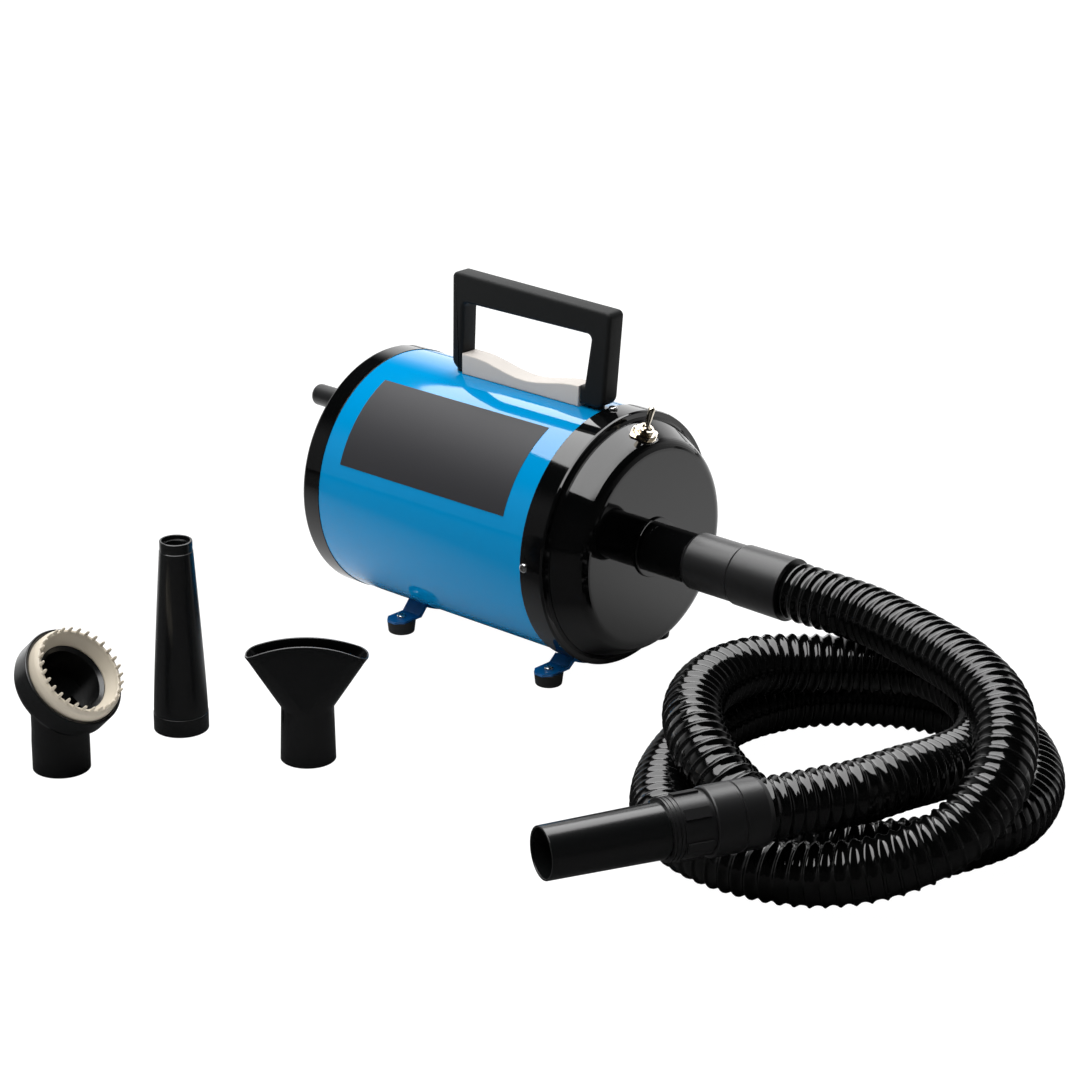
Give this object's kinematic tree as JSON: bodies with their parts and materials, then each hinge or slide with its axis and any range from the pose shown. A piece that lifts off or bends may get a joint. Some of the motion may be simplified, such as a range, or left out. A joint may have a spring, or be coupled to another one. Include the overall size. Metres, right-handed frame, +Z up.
{
  "type": "pet dryer",
  "caption": "Canister blower on rubber feet with a carrying handle and a ribbed hose, for drying animals, with loose cone, flare and brush nozzles.",
  "frame": {"origin": "middle of the footprint of the dryer with its loose nozzles, hose left out, on the floor", "axes": "+X along the canister towards its outlet, +Z up, +Y from the loose nozzles to the canister's far side"},
  "size_m": [0.7225, 0.5496, 0.2823],
  "materials": {
    "blue_paint": "gloss enamel on rolled steel",
    "gloss_black": "high-gloss black",
    "satin_black": "satin moulded plastic",
    "label_charcoal": "blank charcoal film",
    "handle_black": "fine-grained matte plastic",
    "saddle_grey": "satin warm grey plastic",
    "strap_blue": "gloss enamel on strip steel",
    "black_rubber": "matte rubber",
    "bright_steel": "plain bright steel",
    "nickel": "nickel plated",
    "foam": "open-cell foam",
    "zinc_sheet": "zinc plated sheet",
    "cast_aluminium": "as cast",
    "laminations": "varnished laminations",
    "copper": "enamelled copper",
    "brass": "plain brass",
    "carbon": "carbon",
    "lead_insulation": "satin insulation",
    "hose_plastic": "glossy ribbed hose",
    "cuff_plastic": "satin soft plastic",
    "nozzle_plastic": "satin moulded plastic",
    "comb_cream": "satin cream plastic"
  },
  "bodies": {
    "dryer": {"body_shell": "blue_paint", "rear_cap": "gloss_black", "intake_grille": "satin_black", "grille_screws": "bright_steel", "filter_foam": "foam", "front_dome": "gloss_black", "body_screws": "bright_steel", "label_plate": "label_charcoal", "handle": "handle_black", "handle_saddle": "saddle_grey", "handle_spacers": "black_rubber", "handle_bolts": "bright_steel", "front_foot_strap": "strap_blue", "rear_foot_strap": "strap_blue", "foot_front_near": "black_rubber", "foot_front_far": "black_rubber", "foot_rear_near": "black_rubber", "foot_rear_far": "black_rubber", "foot_screws": "bright_steel", "cord_gland": "satin_black", "outlet_ring": "gloss_black", "outlet_pipe": "gloss_black", "switch_case": "satin_black", "toggle_bushing": "nickel", "toggle_washer": "nickel", "toggle_nut": "nickel", "baffle_plate": "zinc_sheet", "fan_gasket": "black_rubber", "fan_shell": "zinc_sheet", "diffuser": "cast_aluminium", "field_core": "laminations", "field_coils": "copper", "rear_end_frame": "cast_aluminium", "front_end_frame": "cast_aluminium", "rear_bearing": "bright_steel", "front_bearing": "bright_steel", "brush_holders": "brass", "carbon_brushes": "carbon", "mount_rubber": "black_rubber", "motor_cradle": "zinc_sheet", "motor_leads": "lead_insulation", "hose_cuff": "cuff_plastic", "hose": "hose_plastic", "nozzle_cuff": "cuff_plastic", "nozzle_collar": "cuff_plastic", "nozzle_tube": "nozzle_plastic"},
    "rotor": {"motor_shaft": "bright_steel", "impeller_rear": "cast_aluminium", "impeller_front": "cast_aluminium", "impeller_spacer": "bright_steel", "impeller_nut": "bright_steel", "armature_core": "laminations", "armature_windings": "copper", "commutator": "copper"},
    "lever": {"toggle_lever": "nickel"},
    "cone": {"cone_nozzle": "nozzle_plastic"},
    "flare": {"flare_nozzle": "nozzle_plastic"},
    "brush": {"brush_head": "nozzle_plastic", "brush_ring": "comb_cream"}
  },
  "joints": [
    {"name": "rotor_spin", "type": "hinge", "parent": "dryer", "child": "rotor", "pos_m": [-0.037, 0.17353, 0.1052], "axis": [1, 0, 0], "continuous": true},
    {"name": "lever_tip", "type": "hinge", "parent": "dryer", "child": "lever", "pos_m": [0.10477, 0.17353, 0.19559], "axis": [0, 1, 0], "range_deg": [0, 24]},
    {"name": "cone_lift", "type": "slide", "parent": "dryer", "child": "cone", "axis": [0, 0, 1], "range_m": [0, 0.25]},
    {"name": "flare_lift", "type": "slide", "parent": "dryer", "child": "flare", "axis": [0, 0, 1], "range_m": [0, 0.25]},
    {"name": "brush_lift", "type": "slide", "parent": "dryer", "child": "brush", "axis": [0, 0, 1], "range_m": [0, 0.25]}
  ]
}
